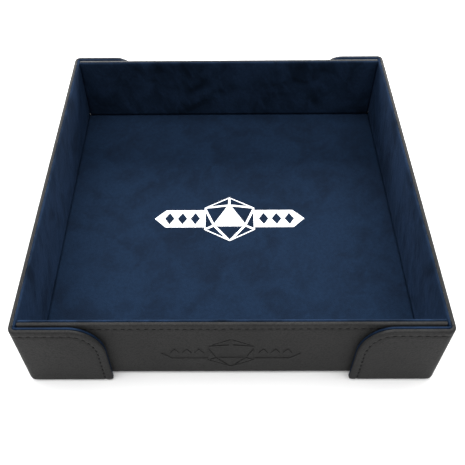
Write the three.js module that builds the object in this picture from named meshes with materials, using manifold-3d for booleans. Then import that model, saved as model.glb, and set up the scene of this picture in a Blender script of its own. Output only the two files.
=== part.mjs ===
// Folding dice tray: stiff board panels between a leatherette cover and a velvet lining.
// Each side wall carries a tab at both ends. The tabs fold round the corners onto the front and back walls and are
// held there by magnets. The cover and the lining bend at the folds, where there is no board.
// Millimetres, +Z up, +Y to the back. The origin is at the centre of the underside.

import * as THREE from 'three';
import { mergeVertices } from 'three/addons/utils/BufferGeometryUtils.js';
import Module from 'manifold-3d';

const wasm = await Module();
wasm.setup();

// Driving dimensions
const INSIDE = 212; // clear width and depth between the lined walls
const HEIGHT = 50; // underside to rim
const LEATHER = 0.9; // cover
const BOARD = 1.9; // stiffener
const LINING = 0.7; // velvet
const GLUE = 0.1; // glue line between two layers, and at a panel's edge along a fold
const LEATHER_LIP = 2.0; // from a panel's outer face to where the turned-in cover ends on its edge
const FOLD_RADIUS = 3.8; // outside radius of the cover where it bends
const CLEARANCE = 0.3; // between pieces that move past each other
const TAB_GAP = 0.6; // between a closed tab and the wall it covers
const TAB = { length: 45.5, cornerRun: 16, cornerDrop: 22, lift: 0.5 }; // length from the tray's corner
const SEAM = { inset: 4, width: 0.7, height: 0.35, rest: 0.05 }; // inset from the panel's free edge
const MAGNET = { radius: 5, thickness: 1.7, hole: 5.3, inset: 13, height: 24 }; // inset from the tab's free end
const DIE = { radius: 19, innerFace: 0.618, stroke: 1.5 }; // emblem: a twenty-sided die seen on one face
const BAR = { end: 49, half: 7.4, taper: 7.4 }; // emblem: a pointed bar on each side of the die
const LOZENGE = { first: 22.4, pitch: 8.4, count: 3, halfWide: 3.2, halfHigh: 5 }; // cut through each bar
const INK = { rest: 0.05, height: 0.12 };
const DEBOSS = { depth: 0.35, scale: 0.75, height: 22.5 }; // the emblem pressed into the front wall
const ARC_STEPS = 6;
const SLOT = 1; // how far a cutting tool runs past the piece that it cuts

// Sizes that follow from them
const PANEL = LEATHER + BOARD + LINING + 2 * GLUE;
const LINING_LIP = PANEL - LEATHER_LIP - GLUE;
const OUTER = INSIDE / 2 + PANEL; // tray centre to a wall's outer face
const TAB_INNER = OUTER + TAB_GAP; // tray centre to a closed tab's inner face
const FOLD_LINE = OUTER - FOLD_RADIUS; // tray centre to where a floor panel's bend starts
const TAB_FOLD_LINE = TAB_INNER + PANEL - FOLD_RADIUS; // tray centre to where a side wall's bend starts
const FLOOR_HALF = FOLD_LINE - GLUE;
const WALL_FOOT = FOLD_RADIUS + GLUE;
const SIDE_HALF = TAB_FOLD_LINE - GLUE; // half the length of a side wall
const END_HALF = INSIDE / 2 - CLEARANCE; // half the length of the front and back walls
const MAGNET_PLACE = OUTER - TAB.length + MAGNET.inset; // tray centre to a magnet, along the wall
const BOARD_SETBACK = LINING + 2 * GLUE; // a board stops short of a fold, so that the lining can wrap its edge

const leatherette = new THREE.MeshStandardMaterial({ color: '#2a2a2c', roughness: 0.5 });
const velvet = new THREE.MeshStandardMaterial({ color: '#22314a', roughness: 0.95 });
const greyboard = new THREE.MeshStandardMaterial({ color: '#8d8a83', roughness: 0.9 });
const thread = new THREE.MeshStandardMaterial({ color: '#1c1c1e', roughness: 0.7 });
const magnetSteel = new THREE.MeshStandardMaterial({ color: '#b9bcc0', roughness: 0.3, metalness: 1 });
const whiteInk = new THREE.MeshStandardMaterial({ color: '#f2f3f5', roughness: 0.8 });

const tray = new THREE.Group();

function addMesh(parent, name, geometry, material) {
  const mesh = new THREE.Mesh(geometry, material);
  mesh.name = name;
  parent.add(mesh);
}

function shapeOf(points) {
  return new THREE.Shape(points.map(([x, y]) => new THREE.Vector2(x, y)));
}

function rectangle(left, right, foot, top) {
  return shapeOf([[left, foot], [right, foot], [right, top], [left, top]]);
}

// A plate in a panel's plane, from near to far out of the panel's inner face.
function plate(outline, near, far) {
  const geometry = new THREE.ExtrudeGeometry(outline, {
    depth: far - near, bevelEnabled: false, curveSegments: ARC_STEPS,
  });
  return geometry.translate(0, 0, near);
}

function solidOf(geometry) {
  const bare = geometry.clone();
  bare.deleteAttribute('normal');
  bare.deleteAttribute('uv');
  const merged = mergeVertices(bare, 1e-4);
  return new wasm.Manifold(new wasm.Mesh({
    numProp: 3,
    vertProperties: new Float32Array(merged.attributes.position.array),
    triVerts: new Uint32Array(merged.index.array),
  }));
}

function cut(geometry, ...tools) {
  const solid = tools.reduce((left, tool) => left.subtract(solidOf(tool)), solidOf(geometry));
  const mesh = solid.getMesh();
  const result = new THREE.BufferGeometry();
  result.setAttribute('position', new THREE.BufferAttribute(mesh.vertProperties, 3));
  result.setIndex(new THREE.BufferAttribute(mesh.triVerts, 1));
  return result;
}

// A quarter of a tube's wall round (x, y), from the angle start on: the section of a bend.
function quarterRing(x, y, start, outside, thickness) {
  const ring = new THREE.Shape();
  ring.absarc(x, y, outside, start, start + Math.PI / 2, false);
  ring.absarc(x, y, outside - thickness, start + Math.PI / 2, start, true);
  return ring;
}

// The cover of a panel, turned in over its free edges: edge(inset, open) is the panel's outline, inset from its
// free edges and run on by open past its folded ones.
function coverOf(edge) {
  const pocket = plate(edge(LEATHER, SLOT), PANEL - LEATHER_LIP - SLOT, PANEL - LEATHER);
  return cut(plate(edge(0, 0), PANEL - LEATHER_LIP, PANEL), pocket);
}

function liningOf(edge) {
  const pocket = plate(edge(LINING, SLOT), LINING, LINING_LIP + SLOT);
  return cut(plate(edge(0, 0), 0, LINING_LIP), pocket);
}

function boardOf(edge, magnetPlaces) {
  const near = LINING + GLUE;
  const far = near + BOARD;
  const board = plate(edge(LEATHER + GLUE, -BOARD_SETBACK), near, far);
  const holes = magnetPlaces.map((along) => disc(along, MAGNET.hole, near - SLOT, far + SLOT));
  return holes.length ? cut(board, ...holes) : board;
}

function disc(along, radius, near, far) {
  const outline = new THREE.Shape().absarc(along, MAGNET.height, radius, 0, 2 * Math.PI, false);
  return new THREE.ExtrudeGeometry(outline, {
    depth: far - near, bevelEnabled: false, curveSegments: 4 * ARC_STEPS,
  }).translate(0, 0, near);
}

function magnet(along) {
  const near = LINING + GLUE + (BOARD - MAGNET.thickness) / 2;
  return disc(along, MAGNET.radius, near, near + MAGNET.thickness);
}

function seamOf(outline) {
  return plate(outline, PANEL + SEAM.rest, PANEL + SEAM.rest + SEAM.height);
}

// The emblem: a twenty-sided die drawn in strokes, with its front face filled, between two pointed bars.
function emblem(scale, near, far) {
  const corner = (degrees, radius) => [
    radius * Math.cos(THREE.MathUtils.degToRad(degrees)), radius * Math.sin(THREE.MathUtils.degToRad(degrees)),
  ];
  const rim = (degrees) => corner(degrees, DIE.radius);
  const face = (degrees) => corner(degrees, DIE.radius * DIE.innerFace);
  const half = [rim(90), rim(30), [rim(30)[0], BAR.half], [BAR.end - BAR.taper, BAR.half], [BAR.end, 0]];
  const flip = (points, sx, sy) => points.map(([x, y]) => [sx * x, sy * y]);
  const outline = [
    ...half, ...flip(half.slice(1, -1), 1, -1).reverse(),
    ...flip(half.slice(0, -1), -1, -1), [-BAR.end, 0], ...flip(half.slice(1, -1), -1, 1).reverse(),
  ];
  const holes = [];
  for (const turn of [0, 120, 240]) {
    holes.push([face(90 + turn), face(turn - 30), rim(30 + turn)]);
    holes.push([face(90 + turn), rim(90 + turn), rim(30 + turn)]);
    holes.push([face(90 + turn), rim(90 + turn), rim(150 + turn)]);
  }
  const facets = holes.map((triangle) => insetTriangle(triangle, DIE.stroke / 2));
  for (const side of [-1, 1]) {
    for (let index = 0; index < LOZENGE.count; index += 1) {
      const x = side * (LOZENGE.first + index * LOZENGE.pitch);
      facets.push([[x - LOZENGE.halfWide, 0], [x, LOZENGE.halfHigh], [x + LOZENGE.halfWide, 0], [x, -LOZENGE.halfHigh]]);
    }
  }
  const drawn = (points, from, to) => plate(shapeOf(flip(points, scale, scale)), from, to);
  return cut(drawn(outline, near, far), ...facets.map((points) => drawn(points, near - SLOT, far + SLOT)));
}

// A triangle with every side moved in by distance.
function insetTriangle(points, distance) {
  const [a, b, c] = points.map(([x, y]) => new THREE.Vector2(x, y));
  const sides = [b.distanceTo(c), c.distanceTo(a), a.distanceTo(b)];
  const round = sides[0] + sides[1] + sides[2];
  const middle = new THREE.Vector2();
  [a, b, c].forEach((point, index) => middle.addScaledVector(point, sides[index] / round));
  const inscribed = Math.abs(b.clone().sub(a).cross(c.clone().sub(a))) / round;
  const keep = 1 - distance / inscribed;
  return [a, b, c].map((point) => middle.clone().lerp(point, keep).toArray());
}

// A side of the tray as seen from outside it, turned to its place; the panels in it stand upright, facing out.
function sideGroup(degrees) {
  const group = new THREE.Group();
  group.rotation.z = THREE.MathUtils.degToRad(degrees);
  tray.add(group);
  return group;
}

function uprightPanel(side, innerFace) {
  const group = new THREE.Group();
  group.rotation.x = Math.PI / 2;
  group.position.y = -innerFace;
  side.add(group);
  return group;
}

function addFloor() {
  const floor = (half, near, far) => plate(rectangle(-half, half, -half, half), near, far);
  addMesh(tray, 'floor_leather', floor(FLOOR_HALF, 0, LEATHER), leatherette);
  addMesh(tray, 'floor_board', floor(FLOOR_HALF - BOARD_SETBACK, LEATHER + GLUE, LEATHER + GLUE + BOARD), greyboard);
  addMesh(tray, 'floor_lining', floor(FLOOR_HALF, PANEL - LINING, PANEL), velvet);
  addMesh(tray, 'printed_emblem', emblem(1, PANEL + INK.rest, PANEL + INK.rest + INK.height), whiteInk);
}

// The front and back walls stand between the side walls, so they are turned in at both ends as well as on top.
function addEndWall(side, name, debossed) {
  const edge = (inset, open) => rectangle(-END_HALF + inset, END_HALF - inset, WALL_FOOT - open, HEIGHT - inset);
  const panel = uprightPanel(side, INSIDE / 2);
  const mark = emblem(DEBOSS.scale, PANEL - DEBOSS.depth, PANEL + SLOT).translate(0, DEBOSS.height, 0);
  const cover = debossed ? cut(coverOf(edge), mark) : coverOf(edge);
  const seam = rectangle(-END_HALF + SEAM.inset, END_HALF - SEAM.inset, ...seamHeights());
  addMesh(panel, `${name}_wall_leather`, cover, leatherette);
  addMesh(panel, `${name}_wall_board`, boardOf(edge, [-MAGNET_PLACE, MAGNET_PLACE]), greyboard);
  addMesh(panel, `${name}_wall_lining`, liningOf(edge), velvet);
  addMesh(panel, `${name}_wall_seam`, seamOf(seam), thread);
}

// The left and right walls run on into a fold at both ends, so only their tops are turned in.
function addSideWall(side, name) {
  const edge = (inset, open) => rectangle(-SIDE_HALF - open, SIDE_HALF + open, WALL_FOOT - open, HEIGHT - inset);
  const panel = uprightPanel(side, INSIDE / 2);
  addMesh(panel, `${name}_wall_leather`, coverOf(edge), leatherette);
  addMesh(panel, `${name}_wall_board`, boardOf(edge, []), greyboard);
  addMesh(panel, `${name}_wall_lining`, liningOf(edge), velvet);
  addMesh(panel, `${name}_wall_seam`, seamOf(rectangle(-SIDE_HALF, SIDE_HALF, ...seamHeights())), thread);
}

function seamHeights() {
  return [HEIGHT - SEAM.inset - SEAM.width / 2, HEIGHT - SEAM.inset + SEAM.width / 2];
}

// The bend from the floor up to a wall, half the given length to each side.
function addFloorFold(side, name, half) {
  const strip = (outside, thickness) => {
    const section = quarterRing(-FOLD_LINE, FOLD_RADIUS, Math.PI, outside, thickness);
    return plate(section, -half, half).rotateX(Math.PI / 2).rotateZ(Math.PI / 2);
  };
  addMesh(side, `${name}_floor_fold_leather`, strip(FOLD_RADIUS, LEATHER), leatherette);
  addMesh(side, `${name}_floor_fold_lining`, strip(FOLD_RADIUS - LEATHER - GLUE, LINING), velvet);
}

// The bend round a corner, from the side wall to its tab. hand is -1 at the left end of the side as seen from
// outside it, and 1 at the right end.
function addCornerFold(side, name, hand) {
  const start = hand < 0 ? Math.PI : 1.5 * Math.PI;
  const strip = (outside, thickness) => (
    plate(quarterRing(hand * FOLD_LINE, -TAB_FOLD_LINE, start, outside, thickness), TAB.lift, HEIGHT)
  );
  addMesh(side, `${name}_corner_fold_leather`, strip(FOLD_RADIUS, LEATHER), leatherette);
  addMesh(side, `${name}_corner_fold_lining`, strip(FOLD_RADIUS - LEATHER - GLUE, LINING), velvet);
}

// The free edge of a tab from its fold along the top, round the corner and down its end, inset from that edge.
function tabEdge(hand, inset, open) {
  const end = OUTER - TAB.length + inset;
  const run = TAB.cornerRun - inset;
  const drop = TAB.cornerDrop - inset;
  const points = [[FLOOR_HALF + open, HEIGHT - inset]];
  for (let step = 0; step <= ARC_STEPS; step += 1) {
    const turn = (Math.PI / 2) * (1 - step / ARC_STEPS);
    points.push([end + run - run * Math.cos(turn), HEIGHT - inset - drop + drop * Math.sin(turn)]);
  }
  points.push([end, TAB.lift + inset]);
  return points.map(([along, up]) => [hand * along, up]);
}

function addTab(side, name, hand) {
  const edge = (inset, open) => (
    shapeOf([...tabEdge(hand, inset, open), [hand * (FLOOR_HALF + open), TAB.lift + inset]])
  );
  const seam = [
    ...tabEdge(hand, SEAM.inset - SEAM.width / 2, 0), ...tabEdge(hand, SEAM.inset + SEAM.width / 2, 0).reverse(),
  ];
  const panel = uprightPanel(side, TAB_INNER);
  addMesh(panel, `${name}_tab_leather`, coverOf(edge), leatherette);
  addMesh(panel, `${name}_tab_board`, boardOf(edge, [hand * MAGNET_PLACE]), greyboard);
  addMesh(panel, `${name}_tab_lining`, liningOf(edge), velvet);
  addMesh(panel, `${name}_tab_seam`, seamOf(shapeOf(seam)), thread);
  addMesh(panel, `${name}_tab_magnet`, magnet(hand * MAGNET_PLACE), magnetSteel);
  addMesh(uprightPanel(side, INSIDE / 2), `${name}_wall_magnet`, magnet(hand * MAGNET_PLACE), magnetSteel);
}

const front = sideGroup(0);
const right = sideGroup(90);
const back = sideGroup(180);
const left = sideGroup(-90);

addFloor();
addEndWall(front, 'front', true);
addEndWall(back, 'back', false);
addSideWall(left, 'left');
addSideWall(right, 'right');
addFloorFold(front, 'front', END_HALF);
addFloorFold(back, 'back', END_HALF);
addFloorFold(left, 'left', SIDE_HALF - CLEARANCE);
addFloorFold(right, 'right', SIDE_HALF - CLEARANCE);
for (const [side, name, hand] of [
  [front, 'left_front', -1], [front, 'right_front', 1], [back, 'left_back', 1], [back, 'right_back', -1],
]) {
  addCornerFold(side, name, hand);
  addTab(side, name, hand);
}

export default tray;
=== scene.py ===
"""Folding dice tray: leatherette covers and a velvet lining over board panels, with stitched rims.

Each panel is modelled lying flat, X along it, Y up it and Z out of it, and is then stood in its place.
"""
import math

import bmesh
import bpy
from mathutils import Matrix, Vector, noise


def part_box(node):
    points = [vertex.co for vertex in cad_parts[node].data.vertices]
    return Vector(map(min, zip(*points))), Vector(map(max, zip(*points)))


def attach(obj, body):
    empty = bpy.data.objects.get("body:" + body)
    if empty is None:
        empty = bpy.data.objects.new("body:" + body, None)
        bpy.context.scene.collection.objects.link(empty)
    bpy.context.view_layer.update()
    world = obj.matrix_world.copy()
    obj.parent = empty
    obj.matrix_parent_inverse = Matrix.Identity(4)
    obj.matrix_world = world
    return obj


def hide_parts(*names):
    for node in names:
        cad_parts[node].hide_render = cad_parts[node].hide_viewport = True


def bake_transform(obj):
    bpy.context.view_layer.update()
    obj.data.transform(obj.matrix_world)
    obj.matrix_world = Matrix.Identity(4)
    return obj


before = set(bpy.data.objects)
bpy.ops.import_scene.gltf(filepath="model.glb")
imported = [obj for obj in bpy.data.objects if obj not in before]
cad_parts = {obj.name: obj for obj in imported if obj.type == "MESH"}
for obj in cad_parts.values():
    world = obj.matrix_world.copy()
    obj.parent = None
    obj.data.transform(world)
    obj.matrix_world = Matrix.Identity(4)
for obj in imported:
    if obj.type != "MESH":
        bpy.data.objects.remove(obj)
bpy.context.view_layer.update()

MM = 0.001

# ---------------------------------------------------------------- sizes from the frame
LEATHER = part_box("floor_leather")[1].z
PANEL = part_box("floor_lining")[1].z
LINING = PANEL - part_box("floor_lining")[0].z
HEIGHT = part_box("front_wall_leather")[1].z
INSIDE = -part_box("front_wall_lining")[1].y  # tray centre to a wall's velvet face
END_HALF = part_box("front_wall_leather")[1].x
SIDE_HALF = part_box("left_wall_leather")[1].y
FLOOR_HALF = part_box("floor_lining")[1].x
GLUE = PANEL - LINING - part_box("floor_board")[1].z
FOLD_LINE = FLOOR_HALF + GLUE
TAB_LOW, TAB_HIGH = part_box("left_front_tab_leather")
TAB_INNER = -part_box("left_front_tab_lining")[1].y  # tray centre to a closed tab's velvet face
TAB_END = -TAB_HIGH.x  # tray centre to a tab's free end
TAB_FOOT = TAB_LOW.z
FOLD_RADIUS = -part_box("left_floor_fold_leather")[0].x - FOLD_LINE
FOLD_CENTRE = FOLD_LINE - INSIDE  # height over a panel's velvet face of the line that its folds turn round

# ---------------------------------------------------------------- sizes of the workmanship
TAB_CORNER = Vector((16.0, 22.0)) * MM  # run along the top and drop down the end
# A cover's free edge as (distance in from the edge, height over the panel's face): the lip turned in over the
# edge, the rounded arris, a proud band and the valley that the stitches pull down.
COVER_EDGE = [
    (0.0, -1.75), (0.01, -0.8), (0.12, -0.42), (0.45, -0.17), (1.0, -0.04), (1.6, 0.02), (2.4, 0.05),
    (3.1, 0.01), (3.6, -0.2), (4.0, -0.3), (4.4, -0.2), (5.0, 0.0), (6.5, 0.0),
]
LIP_END = (0.3, -2.0)
# The velvet's edge, from the face out over the board's edge and down it.
VELVET_EDGE = [
    (1.5, 0.0), (0.9, 0.06), (0.4, 0.22), (0.12, 0.5), (0.0, 0.85), (0.0, 1.2), (0.15, 1.48), (0.4, 1.6),
]
TAB_VELVET_LIP = (0.0, 1.5)  # where a tab's velvet ends, down its board's edge
TAB_VELVET_FACE = (3.0, 0.0)  # and where its face is flat
# A tab cover's foot as (drop in mm, share of the height kept).
TAB_FOOT_ROUNDING = [(0.9, 0.96), (0.7, 0.84), (0.5, 0.62), (0.3, 0.3)]
FREE_RISE = 0.5 * MM  # how far the velvet stands off its board on the side walls
LAID_RISE = 0.08 * MM  # and on the floor and the end walls, which are folded down onto it
WALL_WAVE = 14 * MM  # size of the velvet's waves
WALL_WAVE_STRETCH = 2.5
FLOOR_WAVE = 30 * MM
WAVE_FADE = 6 * MM  # over how far they die out at an edge
FOLD_STEPS = 10  # facets round a fold
CORNER_STEPS = 14  # facets round a tab's corner
SEAM_CORNER_STEPS = 24
FOLD_FLAT = 1.5 * MM  # how much of a face is kept flat beside a fold
FOLD_VELVET_SHORT = 0.2 * MM  # how far a fold's velvet stops short of its wall's ends
SPARE = 8 * MM  # how far a sheet runs past a fold before it is trimmed there
STITCH_INSET = 4.0 * MM
STITCH_LENGTH = 2.5 * MM
STITCH_WIDTH = 1.1 * MM
STITCH_THICKNESS = 0.5 * MM
STITCH_DIP = 0.18 * MM  # how far its ends are pulled down
STITCH_SINK = 0.16 * MM  # how far it sinks into the cover
TAB_SEAM_START = 1.5 * MM  # how far above a tab's foot its seam starts
STITCH_PITCH = 3.8 * MM
EMBLEM_SCALE = 0.75
EMBLEM_HEIGHT = 22.5 * MM
EMBLEM_DEPTH = 0.35 * MM
SMOOTH_ANGLE = 40
STITCH_SMOOTH_ANGLE = 70

TURN = {"front": 0, "right": 90, "back": 180, "left": 270}
# Each tab as the side it closes over, and its end of that side: 1 or -1 along the panel's X.
TABS = {
    "left_front": ("front", -1), "right_front": ("front", 1),
    "left_back": ("back", 1), "right_back": ("back", -1),
}


# ---------------------------------------------------------------- camera, floor and lights
def camera():
    """A camera aimed by its tilt down, its turn from straight ahead and its roll."""
    place = Vector((-2.7, -273.6, 316.2)) * MM
    tilt, turn, roll = math.radians(50.04), math.radians(-0.71), math.radians(-0.76)
    ahead = Vector((math.sin(turn) * math.cos(tilt), math.cos(turn) * math.cos(tilt), -math.sin(tilt)))
    level = Vector((math.cos(turn), -math.sin(turn), 0))
    above = level.cross(ahead)
    right = math.cos(roll) * level + math.sin(roll) * above
    up = right.cross(ahead)
    bpy.ops.object.camera_add()
    view = bpy.context.object
    view.matrix_world = Matrix.Translation(place) @ Matrix((right, up, -ahead)).transposed().to_4x4()
    view.data.lens = 49
    view.data.sensor_width = 36
    view.data.shift_x = 0.026
    view.data.clip_start = 0.01
    bpy.context.scene.camera = view


def softbox(name, place, target, width, depth, power, colour="ffffff"):
    """A rectangular lamp, its place and size in metres and its power in watts."""
    bpy.ops.object.light_add(type="AREA")
    light = bpy.context.object
    light.name = name
    light.location = place
    light.rotation_euler = (Vector(target) - Vector(place)).to_track_quat("-Z", "Y").to_euler()
    light.data.shape = "RECTANGLE"
    light.data.size, light.data.size_y = width, depth
    light.data.energy = power
    light.data.color = linear(colour)[:3]


def studio():
    """White ground, a lamp behind the tray and one over it, and a dim white room."""
    bpy.ops.mesh.primitive_plane_add(size=12)
    ground = bpy.context.object
    ground.name = "studio_floor"
    paper = new_material("matt_white_paper", "f4f4f4", Roughness=0.9)
    ground.data.materials.append(paper)
    softbox("rear_softbox", (0, 1.15, 0.5), (0, 0, 0), 1.3, 0.8, 57)
    softbox("top_softbox", (0, -0.15, 1.1), (0, 0, 0), 2.0, 1.2, 24)
    world = bpy.data.worlds.new("dim_studio")
    world.use_nodes = True
    world.node_tree.nodes["Background"].inputs["Color"].default_value = linear("ffffff")
    world.node_tree.nodes["Background"].inputs["Strength"].default_value = 0.45
    bpy.context.scene.world = world
    bpy.context.scene.view_settings.view_transform = "Standard"


# ---------------------------------------------------------------- materials
def linear(colour):
    """The linear red, green, blue and alpha of an sRGB hex colour."""
    parts = [int(colour[i:i + 2], 16) / 255 for i in (0, 2, 4)]
    return *(p / 12.92 if p <= 0.04045 else ((p + 0.055) / 1.055) ** 2.4 for p in parts), 1.0


def add(material, kind, values, **settings):
    """Adds a node. A value is set on its socket, or linked to it where it is another node's output."""
    made = material.node_tree.nodes.new(kind)
    for name, value in settings.items():
        setattr(made, name, value)
    for name, value in values.items():
        if isinstance(value, bpy.types.NodeSocket):
            material.node_tree.links.new(value, made.inputs[name])
        else:
            made.inputs[name].default_value = value
    return made


def shader_of(material):
    return material.node_tree.nodes["Principled BSDF"]


def new_material(name, colour, **values):
    """A material of one colour, with values set on its shader's sockets of the same names."""
    material = bpy.data.materials.new(name)
    material.use_nodes = True
    shader = shader_of(material)
    shader.inputs["Base Color"].default_value = linear(colour)
    for socket, value in values.items():
        shader.inputs[socket.replace("_", " ")].default_value = value
    return material


def link(material, output, socket):
    material.node_tree.links.new(output, shader_of(material).inputs[socket])


def noise_at(material, size, detail=2.0, stretch=(1, 1, 1), turn=(0, 0, 0), **values):
    """Noise with features of about size metres, drawn out along each axis by stretch and then turned."""
    place = add(material, "ShaderNodeTexCoord", {}).outputs["Object"]
    turned = add(material, "ShaderNodeMapping", {"Vector": place, "Rotation": turn})
    scale = [1 / (size * s) for s in stretch]
    scaled = add(material, "ShaderNodeMapping", {"Vector": turned.outputs["Vector"], "Scale": scale})
    return add(
        material, "ShaderNodeTexNoise",
        {"Vector": scaled.outputs["Vector"], "Scale": 1.0, "Detail": detail, **values},
    ).outputs["Fac"]


def ramp(material, value, low, high, to_low=0.0, to_high=1.0):
    """A value from low to high, spread over to_low to to_high and clamped there."""
    return add(
        material, "ShaderNodeMapRange",
        {"Value": value, "From Min": low, "From Max": high, "To Min": to_low, "To Max": to_high},
    ).outputs["Result"]


def mixed(material, share, first, second):
    """The first colour, with a share of the second."""
    return add(
        material, "ShaderNodeMix", {0: share, 6: first, 7: second}, data_type="RGBA", blend_type="MIX",
    ).outputs[2]


def bump(material, height, distance, strength, below=None):
    """Relief as deep as distance, where height runs from 0 to 1, on top of any relief below it."""
    values = {"Height": height, "Distance": distance, "Strength": strength}
    if below is not None:
        values["Normal"] = below
    return add(material, "ShaderNodeBump", values).outputs["Normal"]


def leatherette():
    """Coated cloth embossed with a fine pebble grain: a soft, nearly matt charcoal black."""
    material = new_material("embossed_leatherette", "2d2d2d", IOR=1.5, Specular_IOR_Level=0.05)
    place = add(material, "ShaderNodeTexCoord", {}).outputs["Object"]
    warp = add(material, "ShaderNodeTexNoise", {"Vector": place, "Scale": 1 / (0.9 * MM), "Detail": 1.0})
    bent = add(
        material, "ShaderNodeMix", {0: 0.00035, 4: place, 5: warp.outputs["Color"]}, data_type="VECTOR",
    ).outputs[1]
    pebbles = add(
        material, "ShaderNodeTexVoronoi", {"Vector": bent, "Scale": 1 / (0.85 * MM), "Smoothness": 0.6},
        feature="SMOOTH_F1",
    ).outputs["Distance"]
    soft = noise_at(material, 26 * MM, 3.0)
    fine = noise_at(material, 0.45 * MM, 2.0)
    tone = mixed(material, ramp(material, soft, 0.35, 0.65), linear("2a2a2a"), linear("313131"))
    # painted shade: the grain's hollows between the pebbles are painted darker, towards 1c1c1c
    painted_crease_shade = ramp(material, pebbles, 0.25, 0.75, 0.0, 0.5)
    link(material, mixed(material, painted_crease_shade, tone, linear("1c1c1c")), "Base Color")
    worn = ramp(material, soft, 0.3, 0.7, 0.50, 0.60)
    specks = ramp(material, fine, 0.3, 0.7, -0.04, 0.05)
    gloss = add(material, "ShaderNodeMath", {0: worn, 1: specks}, operation="ADD").outputs[0]
    link(material, gloss, "Roughness")
    grain = bump(material, ramp(material, pebbles, 0.2, 0.8, 1.0, 0.0), 0.10 * MM, 0.55)
    link(material, bump(material, fine, 0.03 * MM, 0.5, grain), "Normal")
    return material


def velvet(name, away, over, hollow):
    """Short-pile navy velvet, brushed in strokes.

    Its colour runs from the tone away to the tone over in brushed patches and strokes: painted sheen, darker
    where the pile leans away and lighter where it leans over, with hollows between.
    """
    material = new_material(
        name, over, Roughness=0.95, Sheen_Weight=0.06, Sheen_Roughness=0.45, Sheen_Tint=linear("5f86c4"),
        Specular_IOR_Level=0.03,
    )
    patches = noise_at(material, 22 * MM, 4.0, Distortion=0.8)
    strokes = noise_at(material, 6 * MM, 3.0, stretch=(0.7, 1.3, 2.4), turn=(0.35, 0.3, 0.6))
    tufts = noise_at(material, 2.0 * MM, 2.0)
    pile = noise_at(material, 0.55 * MM, 2.0)
    # painted sheen: the brushed patches and strokes are painted between the tone away and the tone over, as
    # the pile's lean would catch the light
    painted_sheen_strokes = mixed(material, ramp(material, strokes, 0.3, 0.7, 0.0, 0.5), patches, strokes)
    tone = mixed(material, ramp(material, painted_sheen_strokes, 0.36, 0.6), linear(away), linear(over))
    tone = mixed(material, ramp(material, tufts, 0.3, 0.7, 0.0, 0.35), tone, linear("0c1522"))
    speckle = ramp(material, pile, 0.35, 0.65, 0.0, 0.25)
    link(material, mixed(material, speckle, tone, linear("0a111c")), "Base Color")
    hollows = bump(material, strokes, 0.6 * MM, hollow)
    link(material, bump(material, pile, 0.25 * MM, 0.6, hollows), "Normal")
    return material


def thread():
    """Bonded polyester thread: a tight two-ply twist, black with a slight gloss."""
    material = new_material("bonded_polyester_thread", "0a0a0b", Roughness=0.7, Specular_IOR_Level=0.15)
    place = add(material, "ShaderNodeTexCoord", {}).outputs["Object"]
    ply_twist_and_shade = add(
        material, "ShaderNodeTexWave", {"Vector": place, "Scale": 1 / (1.1 * MM), "Distortion": 0.4},
        bands_direction="DIAGONAL",
    ).outputs["Fac"]
    # painted shade: the grooves between the plies are painted darker than the plies' crowns, on top of their
    # real relief
    link(material, mixed(material, ply_twist_and_shade, linear("060607"), linear("0f0f10")), "Base Color")
    link(material, bump(material, ply_twist_and_shade, 0.08 * MM, 0.6), "Normal")
    return material


def greyboard():
    """Recycled greyboard, rolled: flat grey-brown with short fibres and darker flecks."""
    material = new_material("rolled_greyboard", "8d8a83", Roughness=0.9)
    fibres = noise_at(material, 0.8 * MM, 3.0, stretch=(3, 1, 1))
    flecks = noise_at(material, 1.6 * MM, 2.0)
    tone = mixed(material, fibres, linear("7b776f"), linear("9c988f"))
    share = ramp(material, flecks, 0.66, 0.72, 0.0, 0.6)
    link(material, mixed(material, share, tone, linear("514d47")), "Base Color")
    link(material, bump(material, fibres, 0.05 * MM, 0.4), "Normal")
    return material


def nickel():
    """Nickel plate on a tumbled disc magnet: bright, with fine scuffs that vary its gloss."""
    material = new_material("tumbled_nickel_plate", "c9c5bb", Metallic=1.0)
    scuffs = noise_at(material, 0.6 * MM, 3.0, stretch=(4, 1, 1))
    link(material, ramp(material, scuffs, 0.3, 0.7, 0.16, 0.34), "Roughness")
    link(material, bump(material, scuffs, 0.01 * MM, 0.4), "Normal")
    return material


def ink():
    """White screen ink laid on pile: chalky and opaque, broken by the odd fibre that stands through it."""
    material = new_material("white_screen_ink", "f2f4f6", Roughness=0.75)
    pile = noise_at(material, 0.55 * MM, 3.0)
    cover = noise_at(material, 3.5 * MM, 2.0)
    tone = mixed(material, ramp(material, cover, 0.35, 0.65), linear("e4e8ee"), linear("ffffff"))
    share = ramp(material, pile, 0.66, 0.74, 0.0, 0.5)
    link(material, mixed(material, share, tone, linear("8693a8")), "Base Color")
    link(material, bump(material, pile, 0.12 * MM, 0.5), "Normal")
    return material


# ---------------------------------------------------------------- modelling
def begin(name, primitive, **sizes):
    """Adds a primitive with nothing else selected, and opens it in edit mode with all of it selected."""
    bpy.ops.object.select_all(action="DESELECT")
    primitive(**sizes)
    piece = bpy.context.object
    piece.name = piece.data.name = name
    bpy.ops.object.mode_set(mode="EDIT")
    bpy.ops.mesh.select_all(action="SELECT")
    return piece


def pick(piece, kind, test):
    """In edit mode, selects only the verts, edges or faces that pass the test."""
    bpy.ops.mesh.select_mode(type={"verts": "VERT", "edges": "EDGE", "faces": "FACE"}[kind])
    bpy.ops.mesh.select_all(action="DESELECT")
    mesh = bmesh.from_edit_mesh(piece.data)
    for element in getattr(mesh, kind):
        if test(element):
            element.select_set(True)
    mesh.select_flush_mode()
    bmesh.update_edit_mesh(piece.data)


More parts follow.
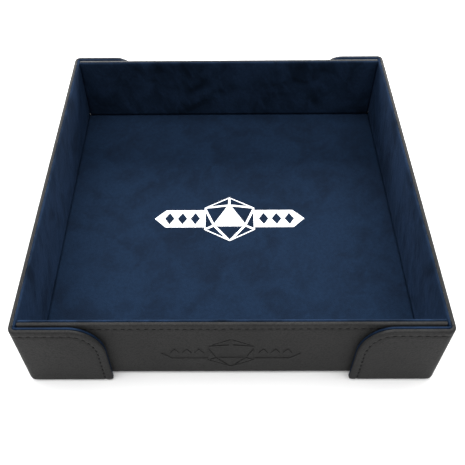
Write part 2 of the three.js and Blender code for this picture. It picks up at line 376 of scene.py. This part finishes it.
def trim(across, at, keep_above):
    """Cuts the whole open mesh at a place along X (0) or Y (1).

    It keeps what is above the place, what is below it or, where keep_above is None, both.
    """
    bpy.ops.mesh.select_all(action="SELECT")
    spot, normal = [0, 0, 0], [0, 0, 0]
    spot[across], normal[across] = at, 1
    bpy.ops.mesh.bisect(
        plane_co=spot, plane_no=normal, clear_inner=keep_above is True, clear_outer=keep_above is False,
        threshold=1e-6,
    )


def pick_line(piece, across, at):
    """Selects the edges that lie at a place along X (0) or Y (1)."""
    pick(piece, "edges", lambda edge: all(abs(v.co[across] - at) < 2e-6 for v in edge.verts))


def face_out(piece, towards):
    """Turns an open sheet so that its largest face looks towards a direction."""
    bpy.ops.mesh.select_mode(type="FACE")
    bpy.ops.mesh.select_all(action="SELECT")
    bpy.ops.mesh.normals_make_consistent(inside=False)
    mesh = bmesh.from_edit_mesh(piece.data)
    largest = max(mesh.faces, key=lambda face: face.calc_area())
    if largest.normal.dot(Vector(towards)) < 0:
        bpy.ops.mesh.flip_normals()


def thicken(piece, thickness):
    """Gives the sheet its thickness behind its face."""
    solid = piece.modifiers.new("thickness", "SOLIDIFY")
    solid.thickness = thickness
    solid.offset = -1
    bpy.ops.object.modifier_apply(modifier=solid.name)


def settle(piece, place, material, smooth=SMOOTH_ANGLE):
    """Stands a finished mesh in its place, with the object left at the origin."""
    piece.matrix_world = place
    bpy.ops.object.transform_apply(location=True, rotation=True, scale=True)
    bpy.ops.object.shade_smooth_by_angle(angle=math.radians(smooth))
    piece.data.materials.clear()
    piece.data.materials.append(material)


def stood(side, inner):
    """Where a panel modelled flat stands, its velvet face at inner from the tray's centre."""
    return (
        Matrix.Rotation(math.radians(TURN[side]), 4, "Z")
        @ Matrix.Translation((0, -inner, 0))
        @ Matrix.Rotation(math.radians(90), 4, "X")
    )


def plan_box(left, right, foot, top, height):
    """Gives the selected unit square its size and place in the panel's plane."""
    bpy.ops.transform.resize(value=(right - left, top - foot, 1), center_override=(0, 0, 0))
    bpy.ops.transform.translate(value=((left + right) / 2, (foot + top) / 2, height))


def round_corner(piece, end, foot, top):
    """Rounds the upper corner at a tab's free end, as a circle while the sheet is squashed."""
    squash = TAB_CORNER.x / TAB_CORNER.y
    bpy.ops.transform.resize(value=(1, squash, 1), center_override=(0, 0, 0))
    pick(piece, "verts", lambda v: abs(v.co.x - end) < 1e-6 and v.co.y > (foot + top) / 2 * squash)
    bpy.ops.mesh.bevel(offset=TAB_CORNER.x, segments=CORNER_STEPS, affect="VERTICES")
    bpy.ops.mesh.select_all(action="SELECT")
    bpy.ops.transform.resize(value=(1, 1 / squash, 1), center_override=(0, 0, 0))


def cover_sheet(name, left, right, foot, top, round_end=None):
    """A cover's face with its edge turned in all round, and with a round upper corner at round_end."""
    piece = begin(name, bpy.ops.mesh.primitive_plane_add, size=1)
    plan_box(left, right, foot, top, PANEL + COVER_EDGE[0][1] * MM)
    if round_end:
        round_corner(piece, round_end, foot, top)
    bpy.ops.mesh.select_mode(type="FACE")
    bpy.ops.mesh.select_all(action="SELECT")
    for (inset, height), (next_inset, next_height) in zip(COVER_EDGE, COVER_EDGE[1:]):
        bpy.ops.mesh.inset(thickness=(next_inset - inset) * MM, depth=(next_height - height) * MM)
    pick(piece, "edges", lambda edge: edge.is_boundary)
    middle = ((left + right) / 2, (foot + top) / 2, 0)
    bpy.ops.mesh.extrude_region_move(
        TRANSFORM_OT_translate={"value": (0, 0, (LIP_END[1] - COVER_EDGE[0][1]) * MM)}
    )
    bpy.ops.transform.resize(
        value=(1 - 2 * LIP_END[0] * MM / (right - left), 1 - 2 * LIP_END[0] * MM / (top - foot), 1),
        center_override=middle,
    )
    return piece


def sweep(degrees, centre, axis):
    """Sweeps what is selected round an axis, by the right-hand rule."""
    bpy.ops.mesh.spin(steps=FOLD_STEPS, angle=-math.radians(degrees), center=centre, axis=axis)


def turn_fold(piece, across, at, degrees, axis):
    """Trims the sheet at a fold, keeps its face flat up to it, and bends it on from there."""
    inward = 1 if across == 1 else -math.copysign(1, at)
    trim(across, at, keep_above=inward > 0)
    trim(across, at + inward * FOLD_FLAT, keep_above=None)
    pick_line(piece, across, at)
    centre = [0, 0, FOLD_CENTRE]
    centre[across] = at
    sweep(degrees, centre, axis)


def wall_cover(side, half, turned_ends):
    """A wall's cover in one piece with the fold that joins it to the floor."""
    spare = 0 if turned_ends else SPARE
    piece = cover_sheet(f"{side}_wall_cover", -half - spare, half + spare, FOLD_RADIUS - SPARE, HEIGHT)
    if not turned_ends:
        trim(0, -half, keep_above=True)
        trim(0, half, keep_above=False)
    turn_fold(piece, 1, FOLD_RADIUS, 90, (1, 0, 0))
    face_out(piece, (0, 0, 1))
    bpy.ops.object.mode_set(mode="OBJECT")
    thicken(piece, LEATHER)
    settle(piece, stood(side, INSIDE), finishes["leatherette"])
    if side == "front":
        press_emblem(piece)
    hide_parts(f"{side}_wall_leather", f"{side}_floor_fold_leather")
    blend_floor_fold(piece)


def blend_floor_fold(piece):
    """Bakes a piece's placement into its mesh and leaves the object at the origin; the piece is not bent
    here.
    """
    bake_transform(piece)


def press_emblem(cover):
    """Presses the printed emblem's outline into the front cover, smaller."""
    bpy.ops.object.select_all(action="DESELECT")
    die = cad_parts["printed_emblem"].copy()
    die.data = die.data.copy()
    bpy.context.collection.objects.link(die)
    die.hide_set(False)
    die.select_set(True)
    bpy.context.view_layer.objects.active = die
    low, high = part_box("printed_emblem")
    deep = 4 * EMBLEM_DEPTH
    smaller = Matrix.Diagonal((EMBLEM_SCALE, EMBLEM_SCALE, deep / (high.z - low.z), 1))
    raised = Matrix.Translation((0, EMBLEM_HEIGHT, PANEL - EMBLEM_DEPTH))
    die.data.transform(stood("front", INSIDE) @ raised @ smaller @ Matrix.Translation((0, 0, -low.z)))
    bpy.ops.object.mode_set(mode="EDIT")
    bpy.ops.mesh.select_all(action="SELECT")
    bpy.ops.mesh.remove_doubles(threshold=1e-7)
    bpy.ops.object.mode_set(mode="OBJECT")
    bpy.ops.object.select_all(action="DESELECT")
    cover.select_set(True)
    bpy.context.view_layer.objects.active = cover
    pressed = cover.modifiers.new("pressed_emblem", "BOOLEAN")
    pressed.object = die
    pressed.operation = "DIFFERENCE"
    pressed.solver = "EXACT"
    bpy.ops.object.modifier_apply(modifier=pressed.name)
    bpy.ops.mesh.customdata_custom_splitnormals_clear()
    bpy.ops.object.shade_smooth_by_angle(angle=math.radians(SMOOTH_ANGLE))
    bpy.data.objects.remove(die)


def tab_cover(name, side, hand):
    """A tab's cover in one piece with the fold that carries it round the corner."""
    left, right = sorted((hand * TAB_END, hand * (FOLD_LINE + SPARE)))
    piece = cover_sheet(f"{name}_tab_cover", left, right, TAB_FOOT - SPARE, HEIGHT, round_end=hand * TAB_END)
    rounded_from = TAB_FOOT + sum(drop for drop, _ in TAB_FOOT_ROUNDING) * MM
    trim(1, rounded_from, keep_above=True)
    pick_line(piece, 1, rounded_from)
    kept = 1.0
    for drop, share in TAB_FOOT_ROUNDING:
        bpy.ops.mesh.extrude_region_move(TRANSFORM_OT_translate={"value": (0, -drop * MM, 0)})
        bpy.ops.transform.resize(
            value=(1, 1, share / kept), center_override=(0, 0, PANEL + LIP_END[1] * MM),
        )
        kept = share
    turn_fold(piece, 0, hand * FOLD_LINE, hand * 90, (0, 1, 0))
    face_out(piece, (0, 0, 1))
    bpy.ops.object.mode_set(mode="OBJECT")
    thicken(piece, LEATHER)
    settle(piece, stood(side, TAB_INNER), finishes["leatherette"])
    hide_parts(f"{name}_tab_leather", f"{name}_corner_fold_leather")
    blend_corner_fold(piece)


def blend_corner_fold(piece):
    """Bakes a piece's placement into its mesh and leaves the object at the origin; the piece is not bent
    here.
    """
    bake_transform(piece)


def velvet_sheet(name, left, right, foot, top, cell=4 * MM):
    """A lining with its edges wrapped over the board. The face is at height 0 and looks along -Z."""
    first = VELVET_EDGE[0][0] * MM
    width, height = right - left, top - foot
    piece = begin(
        name, bpy.ops.mesh.primitive_grid_add, size=1,
        x_subdivisions=round(width / cell), y_subdivisions=round(height / cell),
    )
    bpy.ops.transform.resize(value=(width - 2 * first, height - 2 * first, 1), center_override=(0, 0, 0))
    pick(piece, "edges", lambda edge: edge.is_boundary)
    for (inset, depth), (next_inset, next_depth) in zip(VELVET_EDGE, VELVET_EDGE[1:]):
        bpy.ops.mesh.extrude_region_move(TRANSFORM_OT_translate={"value": (0, 0, (next_depth - depth) * MM)})
        bpy.ops.transform.resize(
            value=(
                (width - 2 * next_inset * MM) / (width - 2 * inset * MM),
                (height - 2 * next_inset * MM) / (height - 2 * inset * MM), 1,
            ),
            center_override=(0, 0, 0),
        )
    bpy.ops.mesh.select_all(action="SELECT")
    bpy.ops.transform.translate(value=((left + right) / 2, (foot + top) / 2, 0))
    face_out(piece, (0, 0, -1))
    bpy.ops.object.mode_set(mode="OBJECT")
    return piece


def relax(piece, left, right, foot, top, size, stretch, rise):
    """Lets the glued velvet stand off the board in soft, shallow waves that die out towards its edges."""
    for vertex in piece.data.vertices:
        x, y, _ = vertex.co
        margin = min(x - left, right - x, y - foot, top - y)
        fade = min(max(margin / WAVE_FADE - 0.25, 0), 1)
        wave = noise.noise(Vector((x / size, y / (size * stretch), left * 50)))
        vertex.co.z -= fade * rise * (0.5 + 0.5 * wave)


def wall_lining(side, half, rise):
    """A wall's velvet, above the strip of velvet in its fold."""
    left, right, foot, top = -half, half, FOLD_RADIUS + GLUE, HEIGHT
    piece = velvet_sheet(f"{side}_wall_velvet", left, right, foot, top)
    relax(piece, left, right, foot, top, WALL_WAVE, WALL_WAVE_STRETCH, rise)
    thicken(piece, LINING)
    settle(piece, stood(side, INSIDE), finishes["brushed_velvet"])
    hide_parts(f"{side}_wall_lining")
    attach(piece, f"{side}_wall")


def floor_lining():
    half = FLOOR_HALF
    piece = velvet_sheet("floor_velvet", -half, half, -half, half)
    relax(piece, -half, half, -half, half, FLOOR_WAVE, 1.0, LAID_RISE)
    thicken(piece, LINING)
    place = Matrix.Translation((0, 0, PANEL)) @ Matrix.Rotation(math.pi, 4, "X")
    settle(piece, place, finishes["velvet"])
    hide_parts("floor_lining")
    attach(piece, "floor")


def tab_lining(name, side, hand, fold):
    """A tab's velvet, round-cornered like its cover, with its edge showing as a strip beside the lip."""
    left, right = sorted((hand * TAB_END, hand * FLOOR_HALF))
    foot, top = TAB_FOOT, HEIGHT
    piece = begin(f"{name}_tab_velvet", bpy.ops.mesh.primitive_plane_add, size=1)
    plan_box(left, right, foot, top, TAB_VELVET_LIP[1] * MM)
    round_corner(piece, hand * TAB_END, foot, top)
    bpy.ops.mesh.flip_normals()
    bpy.ops.mesh.select_mode(type="FACE")
    bpy.ops.mesh.select_all(action="SELECT")
    steps = [TAB_VELVET_LIP, *reversed(VELVET_EDGE[:-2]), TAB_VELVET_FACE]
    for (inset, depth), (next_inset, next_depth) in zip(steps, steps[1:]):
        bpy.ops.mesh.inset(thickness=max(next_inset - inset, 0.005) * MM, depth=(depth - next_depth) * MM)
    face_out(piece, (0, 0, -1))
    bpy.ops.object.mode_set(mode="OBJECT")
    thicken(piece, LINING)
    settle(piece, stood(side, TAB_INNER), finishes["velvet"])
    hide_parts(f"{name}_tab_lining")
    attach(piece, f"{name}_tab")


def strip_section(name, points):
    """A filled section in the X-Z plane, from its corners in millimetres."""
    piece = begin(name, bpy.ops.mesh.primitive_circle_add, vertices=len(points), fill_type="NGON")
    mesh = bmesh.from_edit_mesh(piece.data)
    mesh.verts.ensure_lookup_table()
    for vertex, (x, z) in zip(mesh.verts, points):
        vertex.co = (x * MM, 0, z * MM)
    bmesh.update_edit_mesh(piece.data)
    bpy.ops.mesh.select_all(action="SELECT")
    return piece


def floor_fold_lining(side, half):
    """The velvet in the bend between the floor and a wall, glued to the cover inside the fold."""
    outside = (FOLD_RADIUS - LEATHER - GLUE) / MM
    inside = outside - LINING / MM
    name = f"{side}_floor_fold_velvet"
    piece = begin(name, bpy.ops.mesh.primitive_plane_add, size=1)
    bpy.ops.transform.resize(value=(2 * half, LINING, 1), center_override=(0, 0, 0))
    bpy.ops.transform.translate(value=(0, (inside + outside) / 2 * MM, 0))
    sweep(90, (0, 0, 0), (1, 0, 0))
    bpy.ops.mesh.select_all(action="SELECT")
    bpy.ops.mesh.normals_make_consistent(inside=False)
    bpy.ops.object.mode_set(mode="OBJECT")
    # the section starts pointing out of the tray and ends pointing down
    place = (
        Matrix.Rotation(math.radians(TURN[side]), 4, "Z")
        @ Matrix.Translation((0, -FOLD_LINE, FOLD_RADIUS))
        @ Matrix.Rotation(math.radians(180), 4, "X")
    )
    settle(piece, place, finishes["velvet"])
    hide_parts(f"{side}_floor_fold_lining")
    blend_floor_fold(piece)
    return piece


def corner_fold_lining(name, side, hand):
    """The velvet in the bend round a corner, with its top edge drawn over to carry the rim's strip round."""
    outside = (FOLD_RADIUS - LEATHER - GLUE) / MM
    inside = outside - LINING / MM
    strip = (FOLD_RADIUS + LIP_END[1] * MM - GLUE) / MM
    foot, top = TAB_FOOT / MM, HEIGHT / MM
    under = top - LEATHER / MM - 0.15
    points = [
        (inside, foot), (outside, foot), (outside, under), (strip, under), (strip, top - 0.5),
        (strip - 0.3, top - 0.15), (0.5, top - 0.15), (0.25, top - 0.5), (0.15, top - 1),
        (0.15, under - 0.8), (inside, under - 0.8),
    ]
    piece = strip_section(f"{name}_corner_fold_velvet", [(hand * x, z) for x, z in points])
    sweep(-hand * 90, (0, 0, 0), (0, 0, 1))
    bpy.ops.mesh.select_all(action="SELECT")
    bpy.ops.mesh.normals_make_consistent(inside=False)
    bpy.ops.object.mode_set(mode="OBJECT")
    place = Matrix.Rotation(math.radians(TURN[side]), 4, "Z") @ Matrix.Translation(
        (hand * FOLD_LINE, -(TAB_INNER + FOLD_CENTRE), 0)
    )
    settle(piece, place, finishes["velvet"])
    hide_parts(f"{name}_corner_fold_lining")
    blend_corner_fold(piece)
    return piece


# ---------------------------------------------------------------- stitches
def stitch():
    """One stitch: a bead of thread, full in the middle and pulled down into its two needle holes."""
    piece = begin("stitch", bpy.ops.mesh.primitive_uv_sphere_add, segments=8, ring_count=6, radius=0.5)
    bpy.ops.transform.rotate(value=math.radians(90), orient_axis="Y", center_override=(0, 0, 0))
    bpy.ops.transform.resize(value=(STITCH_LENGTH, STITCH_WIDTH, STITCH_THICKNESS), center_override=(0, 0, 0))
    pick(piece, "verts", lambda v: abs(v.co.x) > STITCH_LENGTH * 0.4)
    bpy.ops.transform.translate(value=(0, 0, -STITCH_DIP))
    bpy.ops.object.mode_set(mode="OBJECT")
    return piece


def seam(name, route, inner, side, body, replaced):
    """Stitches one after the other along a route of (along, up) points in a panel's plane."""
    pattern = stitch()
    copies = []
    lengths = [(b - a).length for a, b in zip(route, route[1:])]
    total = sum(lengths)
    count = int(total / STITCH_PITCH)
    for index in range(count):
        far = (index + 0.5) * total / count
        leg = 0
        while far > lengths[leg]:
            far -= lengths[leg]
            leg += 1
        step = route[leg + 1] - route[leg]
        spot = route[leg] + step * (far / lengths[leg])
        copy = pattern.copy()
        copy.data = pattern.data.copy()
        bpy.context.collection.objects.link(copy)
        along = Matrix.Rotation(math.atan2(step.y, step.x), 4, "Z")
        copy.data.transform(Matrix.Translation((spot.x, spot.y, PANEL - STITCH_SINK)) @ along)
        copies.append(copy)
    bpy.data.objects.remove(pattern)
    bpy.ops.object.select_all(action="DESELECT")
    for copy in copies:
        copy.select_set(True)
    bpy.context.view_layer.objects.active = copies[0]
    bpy.ops.object.join()
    row = bpy.context.object
    row.name = row.data.name = name
    settle(row, stood(side, inner), finishes["thread"], smooth=STITCH_SMOOTH_ANGLE)
    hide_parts(replaced)
    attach(row, body)


def wall_seam(side, half):
    """A straight seam under a wall's rim."""
    height = HEIGHT - STITCH_INSET
    route = [Vector((-half, height)), Vector((half, height))]
    seam(f"{side}_wall_stitches", route, INSIDE, side, f"{side}_wall", f"{side}_wall_seam")


def tab_seam(name, side, hand):
    """A seam along a tab's top, round its corner and down its free end."""
    run, drop = TAB_CORNER.x - STITCH_INSET, TAB_CORNER.y - STITCH_INSET
    end, height = TAB_END + STITCH_INSET, HEIGHT - STITCH_INSET
    route = [Vector((hand * FLOOR_HALF, height))]
    for step in range(SEAM_CORNER_STEPS + 1):
        turn = math.radians(90) * (1 - step / SEAM_CORNER_STEPS)
        route.append(
            Vector((hand * (end + run * (1 - math.cos(turn))), height - drop * (1 - math.sin(turn))))
        )
    route.append(Vector((hand * end, TAB_FOOT + TAB_SEAM_START)))
    seam(f"{name}_tab_stitches", route, TAB_INNER, side, f"{name}_tab", f"{name}_tab_seam")


# ---------------------------------------------------------------- making the tray
finishes = {
    "leatherette": leatherette(), "velvet": velvet("navy_velvet", "121d2d", "162539", 0.3),
    "brushed_velvet": velvet("brushed_navy_velvet", "0c1520", "1b2a3f", 0.8), "thread": thread(),
    "greyboard": greyboard(), "nickel": nickel(), "ink": ink(),
}
camera()
studio()

# The finishes of the nodes that are shown as they are, by the last word of a node's name.
KEPT = {"leather": "leatherette", "board": "greyboard", "magnet": "nickel", "emblem": "ink"}
for node_name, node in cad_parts.items():
    finish_name = KEPT.get(node_name.split("_")[-1])
    if finish_name:
        node.data.materials.clear()
        node.data.materials.append(finishes[finish_name])

floor_lining()
for side in TURN:
    ends = side in ("front", "back")
    half = END_HALF if ends else SIDE_HALF
    wall_cover(side, half, ends)
    fold = floor_fold_lining(side, half - FOLD_VELVET_SHORT)
    wall_lining(side, half, LAID_RISE if ends else FREE_RISE)
    wall_seam(side, half - (STITCH_INSET if ends else 0))
for name, (side, hand) in TABS.items():
    tab_cover(name, side, hand)
    tab_lining(name, side, hand, corner_fold_lining(name, side, hand))
    tab_seam(name, side, hand)
